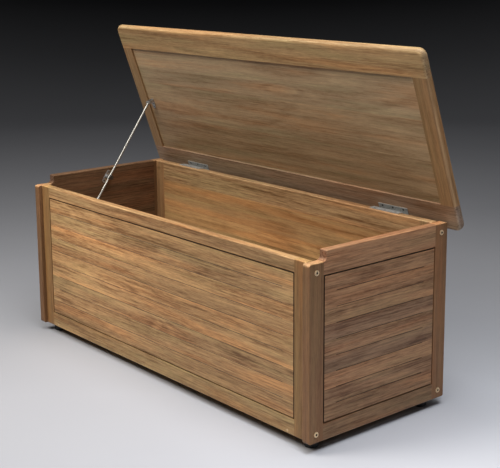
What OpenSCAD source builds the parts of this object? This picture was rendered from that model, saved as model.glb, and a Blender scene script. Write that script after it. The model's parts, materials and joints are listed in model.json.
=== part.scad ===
// Teak deck storage box: frame-and-panel body, framed lid on two offset hinges, sliding rod stay.
// X runs along the box, Y from the front (-Y) to the back (+Y), Z up from the floor. Millimetres.
// The lid is drawn propped open, as the clamped stay holds it.

/* [Body] */
// Length over the outer faces of the two ends
box_length = 1500; // [1300:10:1800]
// Depth of the ends, from front edge to rear edge
box_depth = 580; // [500:10:700]
// Height of the woodwork, from its underside to the top of the ends
box_height = 564; // [480:2:700]
// Thickness of the frame timber
timber = 28; // [26:1:34]
// How far the front and the back stand in from the edges of the ends
setback = 15; // [10:1:22]
// How much lower the front is than the ends
front_drop = 31; // [20:1:38]
// Distance of the step in the top of each end from its front edge
step_depth = 67; // [64:1:90]

/* [Frames and panels] */
// Width of the upright stiles of the ends
end_stile = 56; // [50:1:62]
// Visible width of the upright stiles of the front and the back
face_stile = 49; // [40:1:70]
// Width of the top rails of the ends and the back
top_rail = 70; // [60:1:90]
// Width of the bottom rails
bottom_rail = 52; // [45:1:80]
// Width of the groove round each panel
groove = 4.5; // [3:0.5:6]
// Depth of the groove round each panel
groove_depth = 9; // [6:0.5:9]
// Step from the lid's frame to the inner side of its panel
inner_step = 7; // [5:0.5:8]
// Length of the tongues and tenons that sit in the frames
tongue = 10; // [6:1:12]
// Number of boards glued up in each upright panel
boards = 9; // [5:1:12]
// Number of boards glued up in the lid panel
lid_boards = 9; // [5:1:12]
// Width of the V-grooves on the glue lines
seam_w = 3; // [2:0.5:4]
// Distance between the end of a V-groove and the end of its panel
seam_stop = 46; // [30:1:80]
// Rounding of the long outer edges
edge_r = 4.5; // [2:0.5:6]
// Rounding of the corners of the ends, seen from the side
corner_r = 12; // [4:1:16]

/* [Lid] */
// Angle that the stay holds the lid open to
lid_open = 70.5; // [0:0.5:90]
// Overhang of the lid past the outer face of each end
lid_over_x = 34; // [20:1:50]
// Overhang of the lid past the front and the rear edges of the ends
lid_over_y = 12; // [8:1:20]
// Gap between the top of the ends and the underside of the closed lid
lid_gap = 5; // [5:0.5:8]
// Width of the front and rear rails of the lid
lid_rail = 89.5; // [70:0.5:110]
// Width of the side stiles of the lid
lid_stile = 59; // [50:0.5:64]
// Rounding of the edges of the lid
bullnose = 12; // [6:0.5:13]
// Rounding of the corners of the lid, seen from above
lid_corner = 25; // [15:1:50]

/* [Hinges] */
// Length of each hinge
hinge_len = 125; // [90:5:160]
// Distance of each hinge from the middle of the box
hinge_x = 514; // [350:2:560]
// Thickness of the hinge leaves
leaf = 2; // [1.5:0.5:2]
// Distance of the pin behind the outer face of the back
pin_out = 5; // [5:0.5:6]
// Distance of the pin below the underside of the closed lid
pin_drop = 27; // [26:0.5:30]
// Radius of the hinge knuckles
knuckle_r = 4.5; // [4:0.25:4.5]

/* [Stay] */
// Distance of the rod from the inner face of the left end
rod_out = 22; // [20:1:30]
// Diameter of the rod
rod_d = 8; // [6:0.5:9]
// Horizontal distance of both stay pivots from the hinge pin with the lid closed
stay_reach = 271; // [240:1:300]
// Height of the lid pivot above the hinge pin with the lid closed; the collar is as far below it
stay_rise = 12.5; // [12:0.5:14]
// Angle that the lid can open to before the end stop meets the collar
lid_stop = 95; // [91:1:100]

/* [Feet and floor] */
// Height of the feet
foot_h = 30; // [12:1:40]
// Radius of the feet
foot_r = 21; // [10:1:22]
// Thickness of the floor slats
slat_t = 12; // [9:1:18]
// Number of floor slats
slats = 14; // [10:1:18]
// Gap between two floor slats
slat_gap = 8; // [4:1:15]

/* [Hidden] */
$fn = 48;

eps = 1;
end_x = box_length / 2;
end_in = end_x - timber;
edge_y = box_depth / 2;
face_y = edge_y - setback;
face_in = face_y - timber;
mid_y = face_y - timber / 2;
low_z = foot_h;
top_z = foot_h + box_height;
front_z = top_z - front_drop;
open_z0 = low_z + bottom_rail;
open_z1 = top_z - top_rail;
end_open = edge_y - end_stile;
face_open = end_in - face_stile;
tongue_out = groove_depth;
joint = 0.4;
tongue_in = timber - inner_step;
tenon_low = open_z0 - tongue - 24;
tenon_gap_low = open_z0 - tongue - 2;
tenon_gap_high = open_z1 + tongue + 2;
tenon_high = open_z1 + tongue + 16;
board_h = (open_z1 - open_z0 - 2 * groove) / boards;

lid_x = end_x + lid_over_x;
lid_y = edge_y + lid_over_y;
lid_z = top_z + lid_gap;
lid_top = lid_z + timber;
lid_open_x = lid_x - lid_stile;
lid_open_y = lid_y - lid_rail;
lid_board = (2 * lid_open_y - 2 * groove) / lid_boards;

pin_y = face_y + pin_out;
pin_z = lid_z - pin_drop;
pin_r = 2;
knuckles = 5;
knuckle_gap = 0.5;
knuckle_len = (hinge_len - (knuckles - 1) * knuckle_gap) / knuckles;
knuckle_pitch = knuckle_len + knuckle_gap;
leaf_screws = [-45, 0, 45];
leaf_y = face_in + 7;
lid_back = pin_y + (lid_y - bullnose - pin_y) * cos(lid_open) + (lid_top - bullnose - pin_z) * sin(lid_open)
    + bullnose;
lid_front = pin_y - (lid_y - bullnose + pin_y) * cos(lid_open) + (lid_z + bullnose - pin_z) * sin(lid_open)
    - bullnose;
middle_y = (lid_back + min(-edge_y, lid_front)) / 2;

rod_r = rod_d / 2;
rod_x = -(end_in - rod_out);
stay_r = norm([stay_reach, stay_rise]);
stay_half = atan(stay_rise / stay_reach);
stay_y = pin_y - stay_reach;
collar_z = pin_z - stay_rise;
lug_z = pin_z + stay_rise;
rod_tilt = lid_open / 2;
collar_half = 8;
collar_r = 7;
stop_len = 8;
rod_len = 2 * stay_r * sin(lid_stop / 2 + stay_half) + collar_half + 1 + stop_len;
running = 0.06;
plate_t = 2.5;
plate_len = 54;
lid_plate_len = 40;
plate_w = 16;

bearer_w = timber;
bearer_h = 36;
slat_z = low_z + bearer_h;
slat_span = 2 * end_in - 10;
slat_w = (slat_span - (slats - 1) * slat_gap) / slats;
slat_half = face_in - 3;
foot_x = end_in - foot_r;
foot_y = face_in - bearer_w / 2;
foot_screw = 38;
bearer_pitch = end_in * 0.29;
rail_screw_x = end_in * 0.89;
rail_screw_z = low_z + 10;
foot_screw_z = foot_h - 10;

bolt_inset = 26;
bolt_low = low_z + 27;
bolt_front = front_z - 28;
bolt_back = top_z - 29;
bolt_r = 3;
bolt_head_r = 8.5;
nut_r = 5;
nut_in = 16;
nut_len = 20;

teak = [0.66, 0.46, 0.27];
teak_dark = [0.50, 0.33, 0.20];
teak_lid = [0.55, 0.42, 0.28];
brass = [0.78, 0.62, 0.36];
steel = [0.62, 0.62, 0.60];
black = [0.08, 0.08, 0.08];

// ---- Shapes ----

// A rectangle with a radius at each corner, in the order low-low, high-low, high-high, low-high.
module rounded_rect(w, h, radii) {
    difference() {
        square([w, h]);
        for (i = [0 : 3]) {
            r = radii[i];
            right = (i == 1 || i == 2);
            upper = (i > 1);
            if (r > 0)
                translate([right ? w : 0, upper ? h : 0])
                    mirror([right ? 1 : 0, 0])
                        mirror([0, upper ? 1 : 0])
                            difference() {
                                translate([-eps, -eps]) square(r + eps);
                                translate([r, r]) circle(r);
                            }
        }
    }
}

// Boxes between two corners, with rounded edges along one axis.
module block(lo, hi) {
    translate(lo) cube(hi - lo);
}

module along_x(lo, hi, radii) {
    translate(lo)
        rotate([90, 0, 90])
            linear_extrude(hi.x - lo.x) rounded_rect(hi.y - lo.y, hi.z - lo.z, radii);
}

module along_y(lo, hi, radii) {
    translate([lo.x, hi.y, lo.z])
        rotate([90, 0, 0])
            linear_extrude(hi.y - lo.y) rounded_rect(hi.x - lo.x, hi.z - lo.z, radii);
}

module along_z(lo, hi, radii) {
    translate(lo)
        linear_extrude(hi.z - lo.z) rounded_rect(hi.x - lo.x, hi.y - lo.y, radii);
}

module bar_x(x0, x1, y, z, r) {
    translate([x0, y, z]) rotate([0, 90, 0]) cylinder(h = x1 - x0, r = r);
}

module bar_y(y0, y1, x, z, r) {
    translate([x, y0, z]) rotate([-90, 0, 0]) cylinder(h = y1 - y0, r = r);
}

module to_left() {
    mirror([1, 0, 0]) children();
}

module to_back() {
    mirror([0, 1, 0]) children();
}

// Moves the whole box so that its outline, lid included, is centred on the origin.
module placed() {
    translate([0, -middle_y, 0]) children();
}

// Turns what is drawn on the closed lid up to the angle that the stay holds.
module on_lid() {
    translate([0, pin_y, pin_z])
        rotate([-lid_open, 0, 0])
            translate([0, -pin_y, -pin_z]) children();
}

// The stay's rod axis hangs straight down with the lid closed and leans by half the lid's angle.
module on_collar() {
    translate([rod_x, stay_y, collar_z]) rotate([-rod_tilt, 0, 0]) children();
}

// A countersunk screw with its head level with z = 0 and its shank downwards.
module screw(head_r, shank_r, length) {
    head_h = head_r - shank_r;
    difference() {
        union() {
            translate([0, 0, -head_h]) cylinder(h = head_h, r1 = shank_r, r2 = head_r);
            translate([0, 0, -length]) cylinder(h = length - head_h / 2, r = shank_r);
        }
        for (a = [0, 90])
            rotate(a) translate([-head_r * 0.55, -0.4, -head_h * 0.6]) cube([head_r * 1.1, 0.8, head_r]);
    }
}

// The hole that the screw above sits in, with a little clearance and a countersink.
module screw_hole(head_r, shank_r, length) {
    head_h = head_r - shank_r;
    translate([0, 0, -head_h])
        cylinder(h = head_h + eps, r1 = shank_r + 0.1, r2 = head_r + 0.1 + eps);
    translate([0, 0, -length - 1]) cylinder(h = length + 1 + eps, r = shank_r + 0.1);
}

// ---- Corner bolts and their holes ----

bolt_spots = [
    [-1, bolt_low], [-1, bolt_front], [1, bolt_low], [1, bolt_back]];

module bolt_holes() {
    for (s = bolt_spots)
        bar_x(end_in - 60, end_x + eps, s[0] * mid_y, s[1], bolt_r + 0.3);
}

module nut_holes() {
    for (s = bolt_spots)
        bar_y(s[0] > 0 ? face_in - eps : -face_in - nut_len, s[0] > 0 ? face_in + nut_len : -face_in + eps,
            end_in - nut_in, s[1], nut_r + 0.1);
}

module bolt(z, side) {
    difference() {
        union() {
            bar_x(end_x + 0.8, end_x + 2, side * mid_y, z, bolt_head_r - 0.8);
            bar_x(end_x, end_x + 0.8, side * mid_y, z, bolt_head_r);
            bar_x(end_in - nut_in - 6, end_x + 0.5, side * mid_y, z, bolt_r);
        }
        translate([end_x - 2, side * mid_y, z])
            rotate([0, 90, 0]) cylinder(h = 5, r = 2.5, $fn = 6);
    }
}

module corner_bolts() {
    color(brass) placed()
        for (s = bolt_spots) {
            bolt(s[1], s[0]);
            to_left() bolt(s[1], s[0]);
        }
}

module nut(z, side) {
    difference() {
        bar_y(side > 0 ? face_in : 0.5 - face_in - nut_len, side > 0 ? face_in + nut_len - 0.5 : -face_in,
            end_in - nut_in, z, nut_r);
        bar_x(end_in - nut_in - nut_r * 2, end_in, side * mid_y, z, bolt_r);
    }
}

module barrel_nuts() {
    color(brass) placed()
        for (s = bolt_spots) {
            nut(s[1], s[0]);
            to_left() nut(s[1], s[0]);
        }
}

// ---- Ends, drawn as the right-hand one ----

// The slot in the edges of an end's frame, between two heights.
module end_slot(z0, z1) {
    block([end_x - tongue_in, -end_open - tongue - 2, z0], [end_x - tongue_out, end_open + tongue + 2, z1]);
}

module end_tenon(z0, z1) {
    block([end_x - tongue_in, -end_open - tongue, z0], [end_x - tongue_out, end_open + tongue, z1]);
}

// The upright at one edge of an end, from its underside to the height h.
module end_upright(h) {
    lo = [end_in, -edge_y, low_z];
    hi = [end_x, -end_open, h];
    difference() {
        intersection() {
            along_z(lo, hi, [edge_r, edge_r, 0, 0]);
            along_y(lo, hi, [edge_r, edge_r, edge_r, edge_r]);
            along_x(lo, hi, [corner_r, 0, 0, corner_r]);
        }
        end_slot(tenon_low, tenon_high);
    }
}

module end_front_stile() {
    difference() {
        end_upright(front_z);
        bolt_holes();
    }
}

module end_rear_stile() {
    difference() {
        to_back() end_upright(top_z);
        bolt_holes();
    }
}

module end_top_rail() {
    lo = [end_in, -end_open, open_z1];
    hi = [end_x, end_open, top_z];
    step_y = step_depth - edge_y;
    difference() {
        union() {
            along_y(lo, hi, [0, 0, edge_r, edge_r]);
            end_tenon(tenon_gap_high, tenon_high);
        }
        end_slot(open_z1 - eps, tenon_gap_high);
        along_x([end_in - eps, -edge_y, front_z], [end_x + eps, step_y, top_z + eps], [0, corner_r, 0, 0]);
        translate([end_in - eps, step_y, top_z])
            difference() {
                translate([0, -eps, -edge_r]) cube([timber + 2 * eps, edge_r + eps, edge_r + eps]);
                bar_x(-eps, timber + 3 * eps, edge_r, -edge_r, edge_r);
            }
    }
}

module end_bottom_rail() {
    lo = [end_in, -end_open, low_z];
    hi = [end_x, end_open, open_z0];
    difference() {
        union() {
            along_y(lo, hi, [edge_r, edge_r, 0, 0]);
            end_tenon(tenon_low, tenon_gap_low);
        }
        end_slot(tenon_gap_low, open_z0 + eps);
    }
}

// A stopped V-groove along Y on the outer face of an end.
module end_seam(z) {
    half = end_open - groove - seam_stop;
    translate([end_x, -half, z]) rotate([-90, 0, 0]) cylinder(h = 2 * half, r = seam_w / 2, $fn = 4);
}

module end_panel() {
    difference() {
        union() {
            block([end_x - tongue_in, -end_open + groove, open_z0 + groove],
                [end_x, end_open - groove, open_z1 - groove]);
            block([end_x - tongue_in, -end_open - tongue, open_z0 - tongue],
                [end_x - tongue_out, end_open + tongue, open_z1 + tongue]);
            block([end_in, -end_open + joint, open_z0 + joint],
                [end_x - tongue_in + eps, end_open - joint, open_z1 - joint]);
        }
        for (i = [1 : boards - 1])
            end_seam(open_z0 + groove + i * board_h);
    }
}

module right_front_stile() {
    color(teak_dark) placed() end_front_stile();
}

module right_rear_stile() {
    color(teak_dark) placed() end_rear_stile();
}

module right_top_rail() {
    color(teak_dark) placed() end_top_rail();
}

module right_bottom_rail() {
    color(teak_dark) placed() end_bottom_rail();
}

module right_panel() {
    color(teak_dark) placed() end_panel();
}

module left_front_stile() {
    color(teak_dark) placed() to_left() end_front_stile();
}

module left_rear_stile() {
    color(teak_dark) placed() to_left() end_rear_stile();
}

module left_top_rail() {
    color(teak_dark) placed()
        difference() {
            to_left() end_top_rail();
            wall_screw_spots() screw_hole(3.4, 1.6, 15);
        }
}

module left_bottom_rail() {
    color(teak_dark) placed() to_left() end_bottom_rail();
}

module left_panel() {
    color(teak_dark) placed() to_left() end_panel();
}

// ---- Front and back, drawn as the front with its top at height h ----

module face_slot(z0, z1) {
    block([-face_open - tongue - 2, -face_y + tongue_out, z0],
        [face_open + tongue + 2, -face_y + tongue_in, z1]);
}

module face_tenon(z0, z1) {
    block([-face_open - tongue, -face_y + tongue_out, z0], [face_open + tongue, -face_y + tongue_in, z1]);
}

// The right-hand upright of a face; it butts against the inner face of the end.
module face_upright(h) {
    lo = [face_open, -face_y, low_z];
    hi = [end_in, -face_in, h];
    difference() {
        along_x(lo, hi, [edge_r, 0, edge_r, edge_r]);
        face_slot(tenon_low, tenon_high);
    }
}

module face_top_rail(h) {
    lo = [-face_open, -face_y, open_z1];
    hi = [face_open, -face_in, h];
    difference() {
        union() {
            along_x(lo, hi, [0, 0, edge_r, edge_r]);
            face_tenon(tenon_gap_high, tenon_high);
        }
        face_slot(open_z1 - eps, tenon_gap_high);
    }
}

module face_bottom_rail() {
    lo = [-face_open, -face_y, low_z];
    hi = [face_open, -face_in, open_z0];
    difference() {
        union() {
            along_x(lo, hi, [edge_r, 0, 0, 0]);
            face_tenon(tenon_low, tenon_gap_low);
        }
        face_slot(tenon_gap_low, open_z0 + eps);
    }
}

module face_panel() {
    half = face_open - groove - seam_stop;
    difference() {
        union() {
            block([-face_open + groove, -face_y, open_z0 + groove],
                [face_open - groove, -face_y + tongue_in, open_z1 - groove]);
            block([-face_open - tongue, -face_y + tongue_out, open_z0 - tongue],
                [face_open + tongue, -face_y + tongue_in, open_z1 + tongue]);
            block([-face_open + joint, -face_y + tongue_in - eps, open_z0 + joint],
                [face_open - joint, -face_in, open_z1 - joint]);
        }
        for (i = [1 : boards - 1])
            translate([-half, -face_y, open_z0 + groove + i * board_h])
                rotate([0, 90, 0]) cylinder(h = 2 * half, r = seam_w / 2, $fn = 4);
    }
}

module bearer_screw_spots(side) {
    for (i = [-3 : 3])
        translate([i * bearer_pitch, side * (face_in - bearer_w), low_z + bearer_h / 2])
            rotate([side * 90, 0, 0]) children();
}

// The screws that are driven through the bottom rails from outside.
module rail_screw_spots(side) {
    for (x = [-rail_screw_x, rail_screw_x])
        translate([x, side * face_y, rail_screw_z]) rotate([-side * 90, 0, 0]) children();
}

module front_right_stile() {
    color(teak) placed()
        difference() {
            face_upright(front_z);
            bolt_holes();
            nut_holes();
        }
}

module front_left_stile() {
    color(teak) placed()
        to_left()
            difference() {
                face_upright(front_z);
                bolt_holes();
                nut_holes();
            }
}

module front_top_rail() {
    color(teak) placed() face_top_rail(front_z);
}

module front_bottom_rail() {
    color(teak) placed()
        difference() {
            face_bottom_rail();
            bearer_screw_spots(-1) screw_hole(4, 2, 45);
            rail_screw_spots(-1) screw_hole(4, 2, 45);
        }
}

module front_panel() {
    color(teak) placed() face_panel();
}

module back_right_stile() {
    color(teak) placed()
        difference() {
            to_back() face_upright(top_z);
            bolt_holes();
            nut_holes();
        }
}

module back_left_stile() {
    color(teak) placed()
        to_left()
            difference() {
                to_back() face_upright(top_z);
                bolt_holes();
                nut_holes();
            }
}

module back_top_rail() {
    color(teak) placed()
        difference() {
            to_back() face_top_rail(top_z);
            body_leaf_spots() screw_hole(3.4, 1.8, 22);
        }
}

module back_bottom_rail() {
    color(teak) placed()
        difference() {
            to_back() face_bottom_rail();
            bearer_screw_spots(1) screw_hole(4, 2, 45);
            rail_screw_spots(1) screw_hole(4, 2, 45);
        }
}

module back_panel() {
    color(teak) placed() to_back() face_panel();
}

// ---- Lid, drawn closed ----

module lid_slot() {
    block([-lid_open_x - 20, -lid_open_y - tongue - 2, lid_z + inner_step],
        [lid_open_x + 20, lid_open_y + tongue + 2, lid_top - groove_depth]);
}

// The outline of the whole lid, with its edges rounded over and its corners rounded off.
module lid_blank() {
    straight_x = lid_x - lid_corner;
    straight_y = lid_y - lid_corner;
    soft = [bullnose, bullnose, bullnose, bullnose];
    along_x([-straight_x, -lid_y, lid_z], [straight_x, lid_y, lid_top], soft);
    along_y([-lid_x, -straight_y, lid_z], [lid_x, straight_y, lid_top], soft);
    for (x = [-straight_x, straight_x])
        for (y = [-straight_y, straight_y])
            translate([x, y, lid_z])
                rotate_extrude() rounded_rect(lid_corner, timber, [0, bullnose, bullnose, 0]);
}

module lid_long_rail() {
    difference() {
        intersection() {
            lid_blank();
            block([-lid_x - eps, -lid_y - eps, lid_z - eps], [lid_x + eps, -lid_open_y, lid_top + eps]);
        }
        lid_slot();
    }
}

module lid_side_stile() {
    difference() {
        union() {
            intersection() {
                lid_blank();
                block([lid_open_x, -lid_open_y, lid_z - eps], [lid_x + eps, lid_open_y, lid_top + eps]);
            }
            block([lid_open_x + tongue + 2, -lid_open_y - tongue, lid_z + inner_step],
                [lid_open_x + 20, lid_open_y + tongue, lid_top - groove_depth]);
        }
        block([lid_open_x - eps, -lid_y, lid_z + inner_step],
            [lid_open_x + tongue + 2, lid_y, lid_top - groove_depth]);
    }
}

module lid_front_rail() {
    color(teak_lid) placed() on_lid() lid_long_rail();
}

module lid_rear_rail() {
    color(teak_lid) placed()
        on_lid()
            difference() {
                to_back() lid_long_rail();
                lid_leaf_spots() screw_hole(3.4, 1.8, 18);
            }
}

module lid_right_stile() {
    color(teak_lid) placed() on_lid() lid_side_stile();
}

module lid_left_stile() {
    color(teak_lid) placed() on_lid() to_left() lid_side_stile();
}

module lid_panel() {
    half = lid_open_x - groove - seam_stop;
    color(teak_lid) placed()
        on_lid()
            difference() {
                union() {
                    block([-lid_open_x + groove, -lid_open_y + groove, lid_z + inner_step],
                        [lid_open_x - groove, lid_open_y - groove, lid_top]);
                    block([-lid_open_x - tongue, -lid_open_y - tongue, lid_z + inner_step],
                        [lid_open_x + tongue, lid_open_y + tongue, lid_top - groove_depth]);
                }
                for (i = [1 : lid_boards - 1])
                    translate([-half, -lid_open_y + groove + i * lid_board, lid_top])
                        rotate([0, 90, 0]) cylinder(h = 2 * half, r = seam_w / 2, $fn = 4);
                lid_bracket_spots() screw_hole(3, 1.5, 14);
            }
}

// ---- Floor ----

module bearer() {
    block([-end_in, -face_in, low_z], [end_in, -face_in + bearer_w, low_z + bearer_h]);
}

module foot_spots() {
    for (x = [-foot_x, foot_x])
        for (y = [-foot_y, foot_y])
            translate([x, y, 0]) children();
}

module foot_screw_hole() {
    translate([0, 0, foot_screw_z]) rotate([180, 0, 0]) screw_hole(5, 2, foot_screw);
}

module slat_spots() {
    for (i = [0 : slats - 1])
        translate([-slat_span / 2 + i * (slat_w + slat_gap), 0, 0]) children();
}

module slat_screw_spots() {
    slat_spots()
        for (y = [-foot_y, foot_y])
            translate([slat_w / 2, y, slat_z + slat_t]) children();
}

module front_bearer() {
    color(teak) placed()
        difference() {
            bearer();
            bearer_screw_spots(-1) screw_hole(4, 2, 45);
            rail_screw_spots(-1) screw_hole(4, 2, 45);
            foot_spots() foot_screw_hole();
            slat_screw_spots() screw_hole(3.5, 1.7, 26);
        }
}

module rear_bearer() {
    color(teak) placed()
        difference() {
            to_back() bearer();
            bearer_screw_spots(1) screw_hole(4, 2, 45);
            rail_screw_spots(1) screw_hole(4, 2, 45);
            foot_spots() foot_screw_hole();
            slat_screw_spots() screw_hole(3.5, 1.7, 26);
        }
}

module floor_slats() {
    color(teak) placed()
        difference() {
            slat_spots() block([0, -slat_half, slat_z], [slat_w, slat_half, slat_z + slat_t]);
            slat_screw_spots() screw_hole(3.5, 1.7, 26);
        }
}

module bearer_screws() {
    color(brass) placed()
        for (side = [-1, 1])
            bearer_screw_spots(side) screw(4, 2, 45);
}

module rail_screws() {
    color(brass) placed()
        for (side = [-1, 1])
            rail_screw_spots(side) screw(4, 2, 45);
}

module slat_screws() {
    color(brass) placed() slat_screw_spots() screw(3.5, 1.7, 26);
}

module feet() {
    color(black) placed()
        foot_spots()
            difference() {
                union() {
                    cylinder(h = 2, r1 = foot_r - 1.5, r2 = foot_r);
                    translate([0, 0, 2]) cylinder(h = foot_h - 2, r = foot_r);
                }
                translate([0, 0, -eps]) cylinder(h = foot_screw_z + eps, r = 6);
                foot_screw_hole();
            }
}

module foot_screws() {
    color(steel) placed()
        foot_spots()
            translate([0, 0, foot_screw_z]) rotate([180, 0, 0]) screw(5, 2, foot_screw);
}

// ---- Hinges, drawn with the lid closed ----

module body_leaf_spots() {
    for (side = [-1, 1])
        for (x = leaf_screws)
            translate([side * hinge_x + x, mid_y, top_z + leaf]) children();
}

module lid_leaf_spots() {
    for (side = [-1, 1])
        for (x = leaf_screws)
            translate([side * hinge_x + x, mid_y, lid_z - leaf]) rotate([180, 0, 0]) children();
}

// One knuckle of a leaf, with the tab that joins it to the leaf's upright leg.
module knuckle(i, leg_y0, leg_y1) {
    x0 = -hinge_len / 2 + i * knuckle_pitch;
    bar_x(x0, x0 + knuckle_len, pin_y, pin_z, knuckle_r);
    block([x0, leg_y0, pin_z], [x0 + knuckle_len, leg_y1, pin_z + knuckle_r + 2.5]);
}

module lower_leaf() {
    leg_y = face_y;
    difference() {
        union() {
            block([-hinge_len / 2, leaf_y, top_z], [hinge_len / 2, leg_y + leaf, top_z + leaf]);
            block([-hinge_len / 2, leg_y, pin_z + knuckle_r + 1.5],
                [hinge_len / 2, leg_y + leaf, top_z + leaf]);
            for (i = [0, 2, 4])
                knuckle(i, leg_y, leg_y + leaf);
        }
        bar_x(-hinge_len, hinge_len, pin_y, pin_z, pin_r);
        for (x = leaf_screws)
            translate([x, mid_y, top_z + leaf]) screw_hole(3.4, 1.8, 22);
    }
}

module upper_leaf() {
    leg_y = pin_y + knuckle_r - leaf;
    difference() {
        union() {
            block([-hinge_len / 2, leaf_y, lid_z - leaf], [hinge_len / 2, leg_y + leaf, lid_z]);
            block([-hinge_len / 2, leg_y, pin_z + knuckle_r + 1.5], [hinge_len / 2, leg_y + leaf, lid_z]);
            for (i = [1, 3])
                knuckle(i, leg_y, leg_y + leaf);
        }
        bar_x(-hinge_len, hinge_len, pin_y, pin_z, pin_r + running);
        for (x = leaf_screws)
            translate([x, mid_y, lid_z - leaf]) rotate([180, 0, 0]) screw_hole(3.4, 1.8, 18);
    }
}

module hinge_pin() {
    head = 1.2;
    bar_x(-hinge_len / 2, hinge_len / 2, pin_y, pin_z, pin_r);
    bar_x(-hinge_len / 2 - head, -hinge_len / 2, pin_y, pin_z, pin_r * 1.6);
    bar_x(hinge_len / 2, hinge_len / 2 + head, pin_y, pin_z, pin_r * 1.6);
}

module left_hinge_lower_leaf() {
    color(steel) placed() translate([-hinge_x, 0, 0]) lower_leaf();
}

module right_hinge_lower_leaf() {
    color(steel) placed() translate([hinge_x, 0, 0]) lower_leaf();
}

module left_hinge_upper_leaf() {
    color(steel) placed() on_lid() translate([-hinge_x, 0, 0]) upper_leaf();
}

module right_hinge_upper_leaf() {
    color(steel) placed() on_lid() translate([hinge_x, 0, 0]) upper_leaf();
}

module left_hinge_pin() {
    color(steel) placed() translate([-hinge_x, 0, 0]) hinge_pin();
}

module right_hinge_pin() {
    color(steel) placed() translate([hinge_x, 0, 0]) hinge_pin();
}

module hinge_screws_body() {
    color(steel) placed() body_leaf_spots() screw(3.4, 1.8, 22);
}

module hinge_screws_lid() {
    color(steel) placed() on_lid() lid_leaf_spots() screw(3.4, 1.8, 18);
}

// ---- Stay ----

module lid_bracket_spots() {
    for (y = [13, 25])
        translate([rod_x, stay_y + y, lid_z + inner_step - plate_t]) rotate([180, 0, 0]) children();
}

module wall_screw_spots() {
    for (s = [-20, 20])
        on_collar() translate([-rod_out + plate_t, 0, s]) rotate([0, 90, 0]) children();
}

// A round-ended plate in the XY plane, centred, from z = 0 up to its thickness.
module oblong(length, width, thickness) {
    for (s = [-1, 1])
        translate([s * (length - width) / 2, 0, 0]) cylinder(h = thickness, r = width / 2);
    translate([-(length - width) / 2, -width / 2, 0]) cube([length - width, width, thickness]);
}

module stay_lid_bracket() {
    ear_r = 6;
    ear_in = 6;
    ear_out = 8.5;
    base_z = lid_z + inner_step;
    color(steel) placed()
        on_lid()
            difference() {
                union() {
                    translate([rod_x, stay_y + lid_plate_len / 2 - 8, base_z - plate_t])
                        rotate(90) oblong(lid_plate_len, plate_w + 1, plate_t);
                    for (side = [0, 1])
                        translate([rod_x, 0, 0])
                            mirror([side, 0, 0]) {
                                bar_x(ear_in, ear_out, stay_y, lug_z, ear_r);
                                block([ear_in, stay_y - ear_r, lug_z], [ear_out, stay_y + ear_r, base_z - 1]);
                            }
                }
                bar_x(rod_x - 20, rod_x + 20, stay_y, lug_z, 2.5);
                lid_bracket_spots() screw_hole(3, 1.5, 14);
            }
}

module stay_lid_pin() {
    color(steel) placed()
        on_lid() {
            bar_x(rod_x - 8.5, rod_x + 8.5, stay_y, lug_z, 2.5);
            bar_x(rod_x - 10, rod_x - 8.5, stay_y, lug_z, 4);
            bar_x(rod_x + 8.5, rod_x + 10, stay_y, lug_z, 4);
        }
}

module stay_lid_screws() {
    color(steel) placed() on_lid() lid_bracket_spots() screw(3, 1.5, 14);
}

// Distance between the two stay pivots at the angle that the lid is drawn at.
pivot_gap = 2 * stay_r * sin(lid_open / 2 + stay_half);

module stay_rod() {
    eye_r = 5.5;
    color(steel) placed()
        on_collar()
            difference() {
                union() {
                    translate([0, 0, pivot_gap - rod_len]) cylinder(h = rod_len - 1, r = rod_r);
                    bar_x(-5, 5, 0, pivot_gap, eye_r);
                }
                bar_x(-eps - 5, 5 + eps, 0, pivot_gap, 2.5 + running);
            }
}

module stay_end_stop() {
    color(steel) placed()
        on_collar()
            translate([0, 0, pivot_gap - rod_len])
                difference() {
                    union() {
                        cylinder(h = 1, r1 = rod_r + 1.2, r2 = rod_r + 2.2);
                        translate([0, 0, 1]) cylinder(h = stop_len - 1, r = rod_r + 2.2);
                    }
                    cylinder(h = stop_len + eps, r = rod_r);
                }
}

module stay_wall_plate() {
    color(steel) placed()
        difference() {
            on_collar()
                union() {
                    translate([-rod_out, 0, 0])
                        rotate([0, 90, 0]) oblong(plate_len, plate_w, plate_t);
                    bar_x(-rod_out, -rod_r - 5.5, 0, 0, 7);
                }
            on_collar() bar_x(-rod_out + 1.5, 0, 0, 0, 4 + running);
            wall_screw_spots() screw_hole(3.4, 1.6, 15);
        }
}

module stay_wall_screws() {
    color(steel) placed() wall_screw_spots() screw(3.4, 1.6, 15);
}

module stay_collar() {
    color(steel) placed()
        on_collar()
            difference() {
                union() {
                    translate([0, 0, -collar_half]) cylinder(h = 2 * collar_half, r = collar_r);
                    bar_x(-rod_out + 2, -rod_r, 0, 0, 4);
                    bar_x(rod_r, collar_r + 4, 0, 0, 5);
                }
                translate([0, 0, -20]) cylinder(h = 40, r = rod_r + running);
                bar_x(rod_r, collar_r + 5, 0, 0, 2.5 + running);
            }
}

module stay_thumbscrew() {
    head_x = collar_r + 4.4;
    color(steel) placed()
        on_collar()
            difference() {
                union() {
                    bar_x(rod_r + 0.4, head_x, 0, 0, 2.5);
                    bar_x(head_x, head_x + 6, 0, 0, 8);
                }
                for (a = [0 : 30 : 330])
                    rotate([a, 0, 0]) bar_x(head_x - eps, head_x + 7, 0, 9.2, 2);
            }
}

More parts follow.
